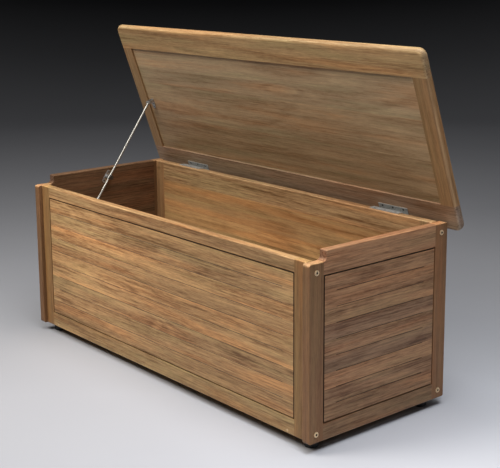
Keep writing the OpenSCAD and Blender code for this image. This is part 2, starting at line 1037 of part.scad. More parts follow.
left_front_stile();
left_rear_stile();
left_top_rail();
left_bottom_rail();
left_panel();
right_front_stile();
right_rear_stile();
right_top_rail();
right_bottom_rail();
right_panel();
front_left_stile();
front_right_stile();
front_top_rail();
front_bottom_rail();
front_panel();
back_left_stile();
back_right_stile();
back_top_rail();
back_bottom_rail();
back_panel();
lid_front_rail();
lid_rear_rail();
lid_left_stile();
lid_right_stile();
lid_panel();
front_bearer();
rear_bearer();
floor_slats();
bearer_screws();
rail_screws();
slat_screws();
feet();
foot_screws();
corner_bolts();
barrel_nuts();
left_hinge_lower_leaf();
left_hinge_upper_leaf();
left_hinge_pin();
right_hinge_lower_leaf();
right_hinge_upper_leaf();
right_hinge_pin();
hinge_screws_body();
hinge_screws_lid();
stay_rod();
stay_end_stop();
stay_lid_bracket();
stay_lid_pin();
stay_lid_screws();
stay_wall_plate();
stay_wall_screws();
stay_collar();
stay_thumbscrew();
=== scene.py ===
"""The looks of the teak deck storage box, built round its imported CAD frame."""

import json
import math

import bpy
from mathutils import Euler, Matrix, Vector


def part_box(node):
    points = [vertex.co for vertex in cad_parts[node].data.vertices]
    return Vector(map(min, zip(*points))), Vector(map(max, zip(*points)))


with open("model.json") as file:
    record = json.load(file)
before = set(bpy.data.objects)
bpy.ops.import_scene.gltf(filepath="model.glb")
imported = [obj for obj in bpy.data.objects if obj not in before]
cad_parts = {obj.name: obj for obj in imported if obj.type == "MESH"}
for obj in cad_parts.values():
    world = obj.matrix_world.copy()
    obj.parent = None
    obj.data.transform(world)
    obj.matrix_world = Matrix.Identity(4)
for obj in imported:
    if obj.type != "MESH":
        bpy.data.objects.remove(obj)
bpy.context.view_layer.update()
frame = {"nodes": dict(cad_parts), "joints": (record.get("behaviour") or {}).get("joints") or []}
nodes = frame["nodes"]
joints = {j["name"]: j for j in frame["joints"]}

HINGE = Vector(joints["lid_hinge"]["pos_m"])
LID_OPEN = -math.radians(joints["lid_hinge"]["range_deg"][0])
MM = 0.001

SIDES = ("left", "right")
FACES = ("front", "back")


def srgb(r, g, b):
    """Linear colour of an sRGB one given in 0..255."""
    out = []
    for c in (r, g, b):
        c /= 255
        out.append(c / 12.92 if c <= 0.04045 else ((c + 0.055) / 1.055) ** 2.4)
    return out


# ---------------------------------------------------------------- node building


class Net:
    """A material's node tree, written as plain function calls."""

    def __init__(self, name):
        self.mat = bpy.data.materials.new(name)
        self.mat.use_nodes = True
        self.tree = self.mat.node_tree
        self.tree.nodes.clear()
        self.shader = self.tree.nodes.new("ShaderNodeBsdfPrincipled")
        out = self.tree.nodes.new("ShaderNodeOutputMaterial")
        self.tree.links.new(self.shader.outputs[0], out.inputs[0])

    def put(self, socket, value):
        """Links a socket, or gives an input its value."""
        if isinstance(value, bpy.types.NodeSocket):
            self.tree.links.new(value, socket)
            return
        if isinstance(value, (tuple, list, Vector)):
            value = list(value)
            if socket.type == "RGBA" and len(value) == 3:
                value.append(1.0)
        socket.default_value = value

    def node(self, kind, inputs=(), **props):
        n = self.tree.nodes.new(kind)
        for key, value in props.items():
            setattr(n, key, value)
        for key, value in dict(inputs).items():
            self.put(n.inputs[key], value)
        return n

    def math(self, op, a, b=0.0, c=0.0):
        return self.node("ShaderNodeMath", {0: a, 1: b, 2: c}, operation=op).outputs[0]

    def add(self, a, b):
        return self.math("ADD", a, b)

    def sub(self, a, b):
        return self.math("SUBTRACT", a, b)

    def mul(self, a, b):
        return self.math("MULTIPLY", a, b)

    def muladd(self, a, b, c):
        return self.math("MULTIPLY_ADD", a, b, c)

    def about_zero(self, noise):
        """A noise value moved from round one half to round nought."""
        return self.sub(noise, 0.5)

    def far(self, a, b):
        """The distance from the origin of a plane to the point a, b."""
        return self.math("SQRT", self.add(self.mul(a, a), self.mul(b, b)))

    def step(self, x, lo, hi, out_lo=0.0, out_hi=1.0):
        """Smooth step of x from lo to hi."""
        n = self.node(
            "ShaderNodeMapRange",
            {"Value": x, "From Min": lo, "From Max": hi, "To Min": out_lo, "To Max": out_hi},
            interpolation_type="SMOOTHSTEP",
        )
        return n.outputs[0]

    def vector(self, x, y, z):
        return self.node("ShaderNodeCombineXYZ", {0: x, 1: y, 2: z}).outputs[0]

    def split(self, v):
        return list(self.node("ShaderNodeSeparateXYZ", {0: v}).outputs)

    def noise(self, v, detail=3.0, rough=0.5, distort=0.0, scale=1.0):
        n = self.node(
            "ShaderNodeTexNoise",
            {
                "Vector": v, "Scale": scale, "Detail": detail, "Roughness": rough,
                "Distortion": distort,
            },
        )
        return n.outputs[0]

    def noise1(self, w, detail=3.0, rough=0.5):
        n = self.node(
            "ShaderNodeTexNoise",
            {"W": w, "Scale": 1.0, "Detail": detail, "Roughness": rough},
            noise_dimensions="1D",
        )
        return n.outputs[0]

    def random(self, w):
        """Three random numbers for a whole number w."""
        n = self.node("ShaderNodeTexWhiteNoise", {"W": w}, noise_dimensions="1D")
        return self.split(n.outputs["Color"])

    def ramp(self, fac, stops, interpolation="LINEAR"):
        n = self.node("ShaderNodeValToRGB", {0: fac})
        n.color_ramp.interpolation = interpolation
        elements = n.color_ramp.elements
        elements[0].position = stops[0][0]
        elements[0].color = (*stops[0][1], 1.0)
        elements[1].position = stops[-1][0]
        elements[1].color = (*stops[-1][1], 1.0)
        for position, colour in stops[1:-1]:
            elements.new(position).color = (*colour, 1.0)
        return n.outputs[0]

    def mix(self, fac, a, b):
        """Colour a where fac is 0, and b where it is 1."""
        n = self.node("ShaderNodeMix", data_type="RGBA")
        self.put(n.inputs[0], fac)
        self.put(n.inputs[6], a)
        self.put(n.inputs[7], b)
        return n.outputs[2]

    def scaled(self, colour, factor):
        """A colour times a number."""
        n = self.node("ShaderNodeVectorMath", {0: colour}, operation="SCALE")
        self.put(n.inputs["Scale"], factor)
        return n.outputs[0]

    def tinted(self, colour, tint):
        """A colour times another."""
        n = self.node("ShaderNodeVectorMath", {0: colour, 1: tint}, operation="MULTIPLY")
        return n.outputs[0]

    def surface(self, colour, rough, height=None, distance=0.0, strength=1.0, **fixed):
        """Fills in the shader. Any height is drawn as bumps as high as distance, in metres."""
        self.put(self.shader.inputs["Base Color"], colour)
        self.put(self.shader.inputs["Roughness"], rough)
        for key, value in fixed.items():
            self.put(self.shader.inputs[key.replace("_", " ")], value)
        if height is not None:
            bump = self.node(
                "ShaderNodeBump", {"Height": height, "Distance": distance, "Strength": strength}
            )
            self.put(self.shader.inputs["Normal"], bump.outputs[0])
        return self.mat


# ---------------------------------------------------------------- teak

# How bright each board is beside its neighbours, and how grey, from the top board down.
FRONT_BOARDS = [
    (0.98, 0.1), (0.96, 0.3), (1.12, 0.0), (0.97, 0.2), (1.05, 0.0),
    (1.03, 0.1), (0.93, 0.3), (0.99, 0.2), (0.90, 0.1),
]
END_BOARDS = [
    (1.00, 0.2), (1.06, 0.1), (1.06, 0.0), (0.94, 0.8), (1.04, 0.2),
    (0.84, 0.7), (1.10, 0.0), (0.96, 0.2), (0.90, 0.0),
]
LID_BOARDS = [(0.90, 0.1), (1.02, 0.3), (1.04, 0.5)]

# How much red, green and blue a wholly grey board gains.
GREYING = (-0.10, -0.02, 0.14)

# Shades of a board beside its own tone, from its darkest rings to its palest. The colour ramp holds
# them as shares of RAMP_TOP.
RAMP_TOP = 1.7
SHADES = [
    (0.14, (0.46, 0.37, 0.30)),
    (0.34, (0.76, 0.70, 0.64)),
    (0.50, (1.00, 1.00, 1.00)),
    (0.66, (1.22, 1.24, 1.24)),
    (0.88, (1.50, 1.56, 1.52)),
]

# How much each layer of the grain counts in the choice of shade.
RING_SHARE = 0.75
BAND_SHARE = 0.90
STREAK_SHARE = 1.40
DASH_SHARE = 0.95

# Noise layers of the grain: cycles per metre along it and across it, detail, roughness, offset
# across it and distortion.
GRAIN_LAYERS = {
    "bands": (1.5, 38.0, 3.0, 0.55, 3.0, 0.2),
    "streaks": (5.0, 190.0, 4.0, 0.62, 11.0, 0.0),
    "dashes": (26.0, 260.0, 3.0, 0.6, 5.0, 0.0),
    "fibres": (26.0, 520.0, 3.0, 0.6, 0.0, 0.0),
    "pores": (60.0, 1500.0, 2.0, 0.5, 0.0, 0.0),
    "hue": (1.6, 20.0, 3.0, 0.55, 7.0, 0.0),
}

# How far apart in the noise two boards may be drawn, along the grain and to its sides, in metres.
BOARD_REACH = 11.0
BOARD_SPREAD = 3.0

# The pith line that the rings lie round, in metres: how far off a board's middle it may run, how
# far it sways and leans, and its least depth behind the face and what may come on top.
PITH_ASIDE = 0.14
PITH_SWAY = 0.07
PITH_LEAN = 0.06
PITH_DEPTH = 0.012
PITH_DEEPER = 0.05

# The noise behind its sway and its dips: cycles per metre along and across, how far apart the two
# are drawn, and detail and roughness.
SWAY_CYCLES = (1.3, 3.0)
DIP_CYCLES = (1.1, 1.0)
DIP_APART = 7.0
PITH_DETAIL = (1.0, 0.4)

# The rings: how far each wavers in metres, how closely, with what detail, and how far along the
# sequence of pale and dark ones two boards may be.
RING_WAVER = 0.007
WAVER_CYCLES = (5.0, 30.0)
RING_DETAIL = (3.0, 0.6)
RING_SHIFT = 50.0

# Where the grain swirls round a knot: along the grain, across it, and how far, in metres. A swirl is
# KNOT_LENGTH times as long as wide, and pushes the rings out by KNOT_SWELL of how far it reaches.
KNOTS = {
    "front_panel": ((-0.26, 0.285, 0.026), (0.12, 0.235, 0.016)),
    "back_panel": ((0.33, 0.40, 0.022),),
    "lid_panel": ((0.12, -0.14, 0.030), (0.50, 0.02, 0.012)),
}
KNOT_LENGTH = 5.0
KNOT_SWELL = 0.7

# Patches of another hue: what they multiply the colour by, and the noise at which they are full.
PATCHES = [
    ((0.88, 0.975, 0.95), 0.66),
    ((1.12, 0.95, 0.84), 0.34),
]
PATCH_STRENGTH = 0.8

# How the brightness follows the fibres, as gain and offset, and the pores, as a smooth step.
FIBRE_TONE = (0.44, 0.78)
PORE_TONE = (0.30, 0.42, 0.74, 1.0)

# Worn edges, with painted highlight where rounded arrises catch the light: what they multiply the
# colour by, how strongly, how round the surface has to be, and the noise that rubs it unevenly.
EDGE_WEAR_AND_HIGHLIGHT = (1.42, 1.44, 1.46)
LID_RAIL_WEAR_AND_HIGHLIGHT = (1.25, 1.38, 1.5)
LID_STILE_WEAR_AND_HIGHLIGHT = (1.6, 1.75, 1.9)
EDGE_WEAR_AND_HIGHLIGHT_STRENGTH = 0.80
ARRIS = (0.97, 0.74)
RUBBED_NOISE = (9.0, 9.0, 3.0, 0.6)
RUBBED = (0.30, 0.60, 0.25, 1.0)

# Painted highlight on faces turned up to the top light: how much each colour gains, and how far
# up a surface has to face.
TOP_HIGHLIGHT_GAIN = (0.30, 0.35, 0.40)
UPWARD = (0.30, 0.80)

# End grain: what it multiplies the colour by, how far along the grain a surface has to face, and
# its pits.
END_GRAIN = (0.80, 0.82, 0.92)
ENDWARD = (0.55, 0.90)
PIT_NOISE = (300.0, 900.0, 2.0, 0.5)
PIT_TONE = (0.5, 0.72)

# Painted shade in the grooves, and the depths below the face at which a groove starts and ends.
GROOVE_SHADE = srgb(34, 26, 21)
GREY_GROOVE_SHADE = srgb(64, 56, 52)
GROOVE_STARTS = (0.1 * MM, 0.7 * MM)
GROOVE_ENDS = (14 * MM, 12 * MM)

# The wood's relief and polish, and what each layer of the grain adds to them.
WOOD_BUMP = 0.22 * MM
WOOD_BUMP_STRENGTH = 0.75
FIBRE_HEIGHT = 0.7
STREAK_HEIGHT = 0.6
PORE_HEIGHT = 0.5
RING_HEIGHT = 0.4
WOOD_ROUGH = 0.36
FIBRE_ROUGH = 0.26
END_ROUGH = 0.18
WOOD_SPECULAR = 0.32


class Teak(Net):
    """Sawn and oiled teak, its grain along one axis of the frame and its width along another."""

    def __init__(self, name, grain, across, lid=False, seed=0):
        super().__init__(name)
        tex = self.node("ShaderNodeTexCoord")
        here, normal = tex.outputs["Object"], tex.outputs["Normal"]
        if lid:
            turn = Euler((LID_OPEN, 0, 0))
            shift = HINGE - turn.to_matrix() @ HINGE
            here = self.node(
                "ShaderNodeMapping",
                {"Vector": here, "Rotation": tuple(turn), "Location": tuple(shift)},
            ).outputs[0]
            normal = self.node(
                "ShaderNodeMapping",
                {"Vector": normal, "Rotation": tuple(turn)},
                vector_type="VECTOR",
            ).outputs[0]
        self.axes = dict(zip("xyz", self.split(here)))
        self.normals = dict(zip("xyz", self.split(normal)))
        self.grain, self.across = grain, across
        self.through = next(k for k in "xyz" if k not in (grain, across))
        self.seed = seed
        self.index = self.middle = None

    def boards(self, low, width):
        """Numbers the boards across the face, from low upwards."""
        a = self.axes[self.across]
        self.index = self.math("FLOOR", self.mul(self.sub(a, low), 1 / width))
        self.middle = self.muladd(self.add(self.index, 0.5), width, low)

    def place(self):
        """Draws a place in the noise for each board, or for a piece that is all one board.

        along, wide and thick are the place on the piece along the grain, across it and through it,
        and g, a and t are the same in the noise.
        """
        self.along, self.wide, self.thick = (
            self.axes[k] for k in (self.grain, self.across, self.through)
        )
        if self.index is None:
            key, self.local = float(self.seed), self.wide
        else:
            key = self.add(self.index, float(self.seed))
            self.local = self.sub(self.wide, self.middle)
        self.draws = self.random(key)
        self.g = self.muladd(self.draws[0], BOARD_REACH, self.along)
        self.a = self.muladd(self.draws[1], BOARD_SPREAD, self.wide)
        self.t = self.muladd(self.draws[2], BOARD_SPREAD, self.thick)

    def spread(self, cycles, third):
        """A place in the noise, at so many cycles per metre along and across the grain."""
        along, wide = cycles
        return self.vector(self.mul(self.g, along), self.mul(self.a, wide), third)

    def pitted(self, along, wide, detail, rough):
        """Noise for pits and rubbing, in which boards lie apart only along the grain."""
        v = self.vector(
            self.mul(self.g, along), self.mul(self.wide, wide), self.mul(self.thick, wide)
        )
        return self.noise(v, detail, rough)

    def stretched(self, along, wide, detail, rough, offset, distort):
        """Noise drawn out along the grain."""
        v = self.vector(
            self.mul(self.g, along), self.muladd(self.a, wide, offset), self.mul(self.t, wide)
        )
        return self.noise(v, detail, rough, distort)

    def rings(self, rate, figure, knots):
        """Growth rings at their distance from a pith line that wavers, and dips in and out."""
        r1, r2, r3 = self.draws
        sway = self.noise(self.spread(SWAY_CYCLES, r3), *PITH_DETAIL)
        dip = self.noise(self.spread(DIP_CYCLES, self.add(r3, DIP_APART)), *PITH_DETAIL)
        aside = self.add(
            self.muladd(self.about_zero(r2), PITH_ASIDE, self.local),
            self.mul(self.about_zero(sway), PITH_SWAY),
        )
        lean = self.mul(self.mul(self.about_zero(r1), PITH_LEAN), self.along)
        bow = self.add(lean, self.mul(self.about_zero(dip), figure))
        deep = self.add(self.add(self.muladd(r3, PITH_DEEPER, PITH_DEPTH), self.thick), bow)
        radius = self.far(aside, deep)
        waver = self.noise(self.spread(WAVER_CYCLES, self.t), *RING_DETAIL)
        radius = self.muladd(self.about_zero(waver), RING_WAVER, radius)
        for at_grain, at_across, swell in knots:
            off_g = self.mul(self.sub(self.along, at_grain), 1 / (KNOT_LENGTH * swell))
            off_a = self.mul(self.sub(self.wide, at_across), 1 / swell)
            off = self.add(self.mul(off_g, off_g), self.mul(off_a, off_a))
            radius = self.muladd(
                self.math("EXPONENT", self.mul(off, -1.0)), KNOT_SWELL * swell, radius
            )
        return self.noise1(self.muladd(radius, rate, self.mul(r1, RING_SHIFT)), *RING_DETAIL)

    def base_tone(self, tone, shade, board_tones):
        """The colour before the grain, board by board from the lowest if they differ."""
        base = [c * shade for c in srgb(*tone)]
        if not board_tones:
            return base
        n = len(board_tones)
        stops = []
        for i, (bright, grey) in enumerate(reversed(board_tones)):
            cool = [1 + k * grey for k in GREYING]
            stops.append((i / n, [c * bright * k for c, k in zip(base, cool)]))
        return self.ramp(self.mul(self.add(self.index, 0.5), 1 / n), stops, "CONSTANT")

    def worn_and_highlit(self, colour, wear_and_highlight):
        """Paler edges where a rounded arris turns away from every flat face; wear and painted
        highlight.
        """
        x, y, z = (self.math("ABSOLUTE", self.normals[k]) for k in "xyz")
        flattest = self.math("MAXIMUM", self.math("MAXIMUM", x, y), z)
        edge = self.step(flattest, *ARRIS)
        much = self.mul(edge, self.step(self.pitted(*RUBBED_NOISE), *RUBBED))
        return self.mix(self.mul(much, EDGE_WEAR_AND_HIGHLIGHT_STRENGTH), colour, self.tinted(colour, wear_and_highlight))

    def build(self, tone, board_tones=None, shade=1.0, contrast=1.0, ring_contrast=1.0, rate=120.0,
              figure=0.05, fine=1.0, knots=(), depth=None, groove_shade_share=0.9, groove_shade_colour=GROOVE_SHADE,
              top_highlight=0.0, wear_and_highlight=EDGE_WEAR_AND_HIGHLIGHT):
        """The finished material.

        tone is its sRGB colour before the grain, and board_tones and shade change that.
        contrast, ring_contrast and fine set how strongly all of the grain, its rings and its short
        streaks show. rate is rings per metre, and figure how far the pith line dips, in metres.
        depth is the axis, place and inward way of a face, whose grooves get painted shade; the next
        two arguments are its share and its colour. The last two are the painted highlight on upward
        faces and the tint of edges, which is wear and painted highlight in one.
        """
        self.place()
        ring = self.rings(rate, figure, knots)
        layers = {name: self.stretched(*layer) for name, layer in GRAIN_LAYERS.items()}
        fibres, pores, hue = layers["fibres"], layers["pores"], layers["hue"]

        value = self.mul(self.about_zero(ring), RING_SHARE * ring_contrast)
        value = self.muladd(self.about_zero(layers["bands"]), BAND_SHARE, value)
        value = self.muladd(self.about_zero(layers["streaks"]), STREAK_SHARE * fine, value)
        value = self.muladd(self.about_zero(layers["dashes"]), DASH_SHARE * fine, value)
        value = self.muladd(value, contrast, 0.5)
        shades = self.ramp(value, [(at, [c / RAMP_TOP for c in rgb]) for at, rgb in SHADES])
        colour = self.tinted(
            self.scaled(shades, RAMP_TOP), self.base_tone(tone, shade, board_tones)
        )

        for tint, full in PATCHES:
            much = self.step(hue, 0.50, full, 0.0, PATCH_STRENGTH)
            colour = self.mix(much, colour, self.tinted(colour, tint))
        colour = self.scaled(colour, self.muladd(fibres, *FIBRE_TONE))
        colour = self.scaled(colour, self.step(pores, *PORE_TONE))
        colour = self.worn_and_highlit(colour, wear_and_highlight)

        # painted highlight: faces turned up towards the top light are painted paler, end grain among
        # them
        up = self.step(self.normals["z"], *UPWARD)
        colour = self.mix(up, colour, self.tinted(colour, [1 + k * top_highlight for k in TOP_HIGHLIGHT_GAIN]))

        # other end grain is greyer and pinker, and pitted
        end = self.step(self.math("ABSOLUTE", self.normals[self.grain]), *ENDWARD)
        if top_highlight:
            end = self.mul(end, self.sub(1.0, up))
        pits = self.muladd(self.pitted(*PIT_NOISE), *PIT_TONE)
        colour = self.mix(end, colour, self.scaled(self.tinted(colour, END_GRAIN), pits))

        if depth is not None:
            axis, at, sign = depth
            into = self.mul(self.sub(self.axes[axis], at), sign)
            # painted shade in the grooves, by depth below the face
            dark = self.mul(self.step(into, *GROOVE_STARTS), self.step(into, *GROOVE_ENDS))
            colour = self.mix(self.mul(dark, groove_shade_share), colour, groove_shade_colour)

        height = self.add(
            self.mul(fibres, FIBRE_HEIGHT), self.mul(layers["streaks"], STREAK_HEIGHT)
        )
        height = self.add(
            height, self.add(self.mul(pores, PORE_HEIGHT), self.mul(ring, RING_HEIGHT))
        )
        rough = self.add(self.muladd(fibres, FIBRE_ROUGH, WOOD_ROUGH), self.mul(end, END_ROUGH))
        return self.surface(
            colour, rough, height, WOOD_BUMP, WOOD_BUMP_STRENGTH, Specular_IOR_Level=WOOD_SPECULAR
        )


def paint(name, material):
    mesh = nodes[name].data
    mesh.materials.clear()
    mesh.materials.append(material)


def extent(name, axis):
    """How far a piece reaches along an axis."""
    lo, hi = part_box(name)
    return lo["xyz".index(axis)], hi["xyz".index(axis)]


def lid_extent(name, axis):
    """How far a lid piece reaches along an axis, with the lid closed."""
    turn = Matrix.Rotation(LID_OPEN, 3, "X")
    k = "xyz".index(axis)
    at = [(turn @ (v.co - HINGE) + HINGE)[k] for v in nodes[name].data.vertices]
    return min(at), max(at)


# sRGB tones of the pieces, before their grain.
TONES = {
    "front_panel": (166, 127, 84),
    "front_top_rail": (156, 121, 82),
    "front_bottom_rail": (158, 126, 84),
    "front_stile": (138, 102, 62),
    "end_panel": (141, 104, 73),
    "end_top_rail": (148, 109, 78),
    "end_bottom_rail": (127, 96, 67),
    "end_stile": (125, 89, 58),
    "back_panel": (161, 123, 80),
    "back_top_rail": (155, 122, 85),
    "back_bottom_rail": (154, 121, 76),
    "back_stile": (146, 110, 74),
    "lid_panel": (164, 136, 101),
    "lid_front_rail": (165, 133, 92),
    "lid_rear_rail": (145, 118, 94),
    "lid_left_stile": (148, 117, 80),
    "lid_right_stile": (148, 113, 76),
    "slats": (150, 114, 80),
    "bearer": (146, 110, 76),
}

# Painted shade on the left end, whose inner face gets little light; the stiles get less of it.
LEFT_SHADE = 0.48
LEFT_STILE_SHADE = 0.92

# The groove round a panel, and the floor's slats.
PANEL_GROOVE = 4.5 * MM
SLATS = 14
SLAT_GAP = 8 * MM


def panel_boards(m, low_rail, high_rail, count):
    """Numbers a panel's boards between the rails on either side of it."""
    low = low_rail + PANEL_GROOVE
    m.boards(low, (high_rail - PANEL_GROOVE - low) / count)


def face_materials():
    for n, face in enumerate(FACES):
        panel = f"{face}_panel"
        out = -1 if face == "front" else 1
        y = extent(panel, "y")[0 if out < 0 else 1]
        smooth = 1.0 if face == "front" else 0.7
        m = Teak(f"teak_{face}_panel", "x", "z", seed=31 + 40 * n)
        panel_boards(
            m, extent(f"{face}_bottom_rail", "z")[1], extent(f"{face}_top_rail", "z")[0],
            len(FRONT_BOARDS),
        )
        paint(panel, m.build(
            TONES[panel], FRONT_BOARDS, contrast=smooth, fine=smooth, knots=KNOTS[panel],
            depth=("y", y, -out), groove_shade_share=0.75, groove_shade_colour=GREY_GROOVE_SHADE,
        ))
        for k, part in enumerate(("top_rail", "bottom_rail")):
            name = f"{face}_{part}"
            m = Teak(f"teak_{name}", "x", "z", seed=3 + 7 * k + 40 * n)
            paint(name, m.build(TONES[name], contrast=0.85, top_highlight=0.2))
        for k, side in enumerate(SIDES):
            name = f"{face}_{side}_stile"
            m = Teak(f"teak_{name}", "z", "x", seed=21 + 5 * k + 40 * n)
            paint(name, m.build(TONES[f"{face}_stile"], contrast=0.5, top_highlight=2.0))


def end_materials():
    for n, side in enumerate(SIDES):
        panel = f"{side}_panel"
        out = -1 if side == "left" else 1
        x = extent(panel, "x")[0 if out < 0 else 1]
        # the left end's pieces get painted shade
        shade, stile_shade = (LEFT_SHADE, LEFT_STILE_SHADE) if side == "left" else (1.0, 1.0)
        m = Teak(f"teak_{side}_panel", "y", "z", seed=131 + 40 * n)
        panel_boards(
            m, extent(f"{side}_bottom_rail", "z")[1], extent(f"{side}_top_rail", "z")[0],
            len(END_BOARDS),
        )
        paint(panel, m.build(TONES["end_panel"], END_BOARDS, shade=shade, depth=("x", x, -out)))
        for k, part in enumerate(("top_rail", "bottom_rail")):
            name = f"{side}_{part}"
            m = Teak(f"teak_{name}", "y", "z", seed=103 + 7 * k + 40 * n)
            paint(name, m.build(TONES[f"end_{part}"], contrast=0.85, shade=shade))
        for k, part in enumerate(("front_stile", "rear_stile")):
            name = f"{side}_{part}"
            m = Teak(f"teak_{name}", "z", "y", seed=121 + 5 * k + 40 * n)
            paint(name, m.build(TONES["end_stile"], contrast=0.5, shade=stile_shade, top_highlight=4.2))


def lid_materials():
    panel = "lid_panel"
    top = lid_extent(panel, "z")[1]
    m = Teak("teak_lid_panel", "x", "y", lid=True, seed=231)
    panel_boards(
        m, lid_extent("lid_front_rail", "y")[1], lid_extent("lid_rear_rail", "y")[0],
        len(LID_BOARDS),
    )
    paint(panel, m.build(
        TONES[panel], LID_BOARDS, contrast=0.74, ring_contrast=1.5, rate=60.0, figure=0.06,
        fine=0.55, knots=KNOTS[panel], depth=("z", top, -1),
    ))
    # the lid's edges get a stronger tint of wear and painted highlight
    for k, name in enumerate(("lid_front_rail", "lid_rear_rail")):
        m = Teak(f"teak_{name}", "x", "y", lid=True, seed=203 + 7 * k)
        paint(name, m.build(TONES[name], contrast=0.62, wear_and_highlight=LID_RAIL_WEAR_AND_HIGHLIGHT))
    for k, name in enumerate(("lid_left_stile", "lid_right_stile")):
        m = Teak(f"teak_{name}", "y", "x", lid=True, seed=221 + 5 * k)
        paint(name, m.build(TONES[name], contrast=0.45, wear_and_highlight=LID_STILE_WEAR_AND_HIGHLIGHT))


def floor_materials():
    m = Teak("teak_floor_slats", "y", "x", seed=331)
    lo, hi = extent("floor_slats", "x")
    m.boards(lo - SLAT_GAP / 2, (hi - lo + SLAT_GAP) / SLATS)
    paint("floor_slats", m.build(TONES["slats"], contrast=0.9))
    for k, part in enumerate(("front_bearer", "rear_bearer")):
        m = Teak(f"teak_{part}", "x", "z", seed=303 + k)
        paint(part, m.build(TONES["bearer"], contrast=0.8))


# ---------------------------------------------------------------- metal and plastic

# Scratches in metal: cycles per metre, how much brighter they make it, how much darker it is to
# begin with, and how rough they are.
SCRATCHES = 1800.0
SCRATCH_GAIN = 0.35
SCRATCH_DARK = 0.18
SCRATCH_ROUGH = 0.22

# Dull spots: cycles per metre, their shade, the noise between which the shade and the roughness
# come in, and their share of the relief.
SPOTS = 160.0
SPOT_SHADE = 0.62
SPOT_STEP = (0.40, 0.72)
SPOT_ROUGH_STEP = (0.55, 0.75)
SPOT_HEIGHT = 0.6
METAL_BUMP = 0.04 * MM
METAL_BUMP_STRENGTH = 0.6

# Radius of a corner bolt's head, how much lower the front's upper bolts are than the back's, and
# the radii between which painted shade darkens a head round its socket.
BOLT_HEAD = 8.5 * MM
BOLT_DROP = 30 * MM
SOCKET = (3.9 * MM, 2.9 * MM)
SOCKET_SHADE = srgb(30, 22, 16)


def metal(name, colour, rough, grain=(1.0, 1.0, 1.0), spots=0.15, metallic=0.85, vary=1.0,
          sockets=()):
    """Brushed or cast metal: fine scratches, dull spots, and painted shade round the sockets in bolt
    heads.

    grain is how closely the scratches lie along each axis, spots how rough the dull spots are, vary
    how strongly both show, and sockets the y and z of each socket.
    """
    m = Net(name)
    tex = m.node("ShaderNodeTexCoord")
    x, y, z = m.split(tex.outputs["Object"])
    brushed = m.noise(
        m.vector(*(m.mul(v, SCRATCHES * k) for v, k in zip((x, y, z), grain))), 4.0, 0.65
    )
    dull = m.noise(m.vector(*(m.mul(v, SPOTS) for v in (x, y, z))), 4.0, 0.6)
    bright = srgb(*colour)
    base = m.mix(m.step(dull, *SPOT_STEP, 0.0, vary), bright, [c * SPOT_SHADE for c in bright])
    base = m.scaled(base, m.muladd(brushed, SCRATCH_GAIN * vary, 1.0 - SCRATCH_DARK * vary))
    # painted shade round each bolt head's socket
    for at_y, at_z in sockets:
        away = m.far(m.sub(y, at_y), m.sub(z, at_z))
        base = m.mix(m.step(away, *SOCKET), base, SOCKET_SHADE)
    roughness = m.add(
        m.muladd(brushed, SCRATCH_ROUGH * vary, rough - SCRATCH_ROUGH / 2 * vary),
        m.step(dull, *SPOT_ROUGH_STEP, 0.0, spots),
    )
    height = m.add(brushed, m.mul(dull, SPOT_HEIGHT))
    return m.surface(
        base, roughness, height, METAL_BUMP * vary, METAL_BUMP_STRENGTH, Metallic=metallic
    )


def metal_materials():
    leaf = metal("hinge_steel", (178, 178, 174), 0.46, (0.08, 1.0, 1.0), metallic=0.45)
    pin = metal("hinge_pin_steel", (180, 180, 178), 0.40, (1.0, 0.2, 0.2), metallic=0.6)
    for side in SIDES:
        paint(f"{side}_hinge_lower_leaf", leaf)
        paint(f"{side}_hinge_upper_leaf", leaf)
        paint(f"{side}_hinge_pin", pin)

    dark = metal("screw_dark", (58, 54, 50), 0.50, spots=0.25, metallic=0.6)
    for name in ("hinge_screws_body", "hinge_screws_lid", "stay_lid_screws", "stay_wall_screws"):
        paint(name, dark)
    paint("foot_screws", metal("screw_zinc", (150, 150, 150), 0.40))

    (front, back), (low, high) = extent("corner_bolts", "y"), extent("corner_bolts", "z")
    sockets = [
        (front + BOLT_HEAD, low + BOLT_HEAD), (back - BOLT_HEAD, low + BOLT_HEAD),
        (front + BOLT_HEAD, high - BOLT_HEAD - BOLT_DROP), (back - BOLT_HEAD, high - BOLT_HEAD),
    ]
    paint("corner_bolts", metal(
        "bolt_brass", (228, 200, 160), 0.42, spots=0.20, metallic=0.5, sockets=sockets
    ))
    paint("barrel_nuts", metal("nut_brass", (176, 142, 96), 0.42, spots=0.2))
    brass = metal("screw_brass", (178, 144, 92), 0.40, spots=0.2)
    paint("bearer_screws", brass)
    paint("rail_screws", metal("rail_screw_brass", (226, 200, 156), 0.40, spots=0.2, metallic=0.5))
    paint("slat_screws", brass)

    paint("stay_rod", metal(
        "rod_steel", (158, 155, 148), 0.30, (0.3, 0.05, 0.05), spots=0.05, metallic=0.55, vary=0.25
    ))
    fitting = metal("fitting_steel", (186, 186, 184), 0.36, spots=0.2, metallic=0.7)
    for name in ("stay_end_stop", "stay_lid_bracket", "stay_lid_pin", "stay_wall_plate"):
        paint(name, fitting)
    paint("stay_collar", metal("collar_steel", (120, 118, 114), 0.34, spots=0.2, metallic=0.7))
    paint("stay_thumbscrew", metal("thumbscrew_steel", (84, 80, 76), 0.34, spots=0.2, metallic=0.7))


# The feet: cycles per metre of their pebbled skin and of the scuffs on it, and their relief.
PEBBLES = 900.0
SCUFFS = 70.0
FOOT_BLACK, FOOT_GREY = srgb(22, 22, 23), srgb(50, 49, 48)
FOOT_BUMP = 0.12 * MM
FOOT_BUMP_STRENGTH = 0.5


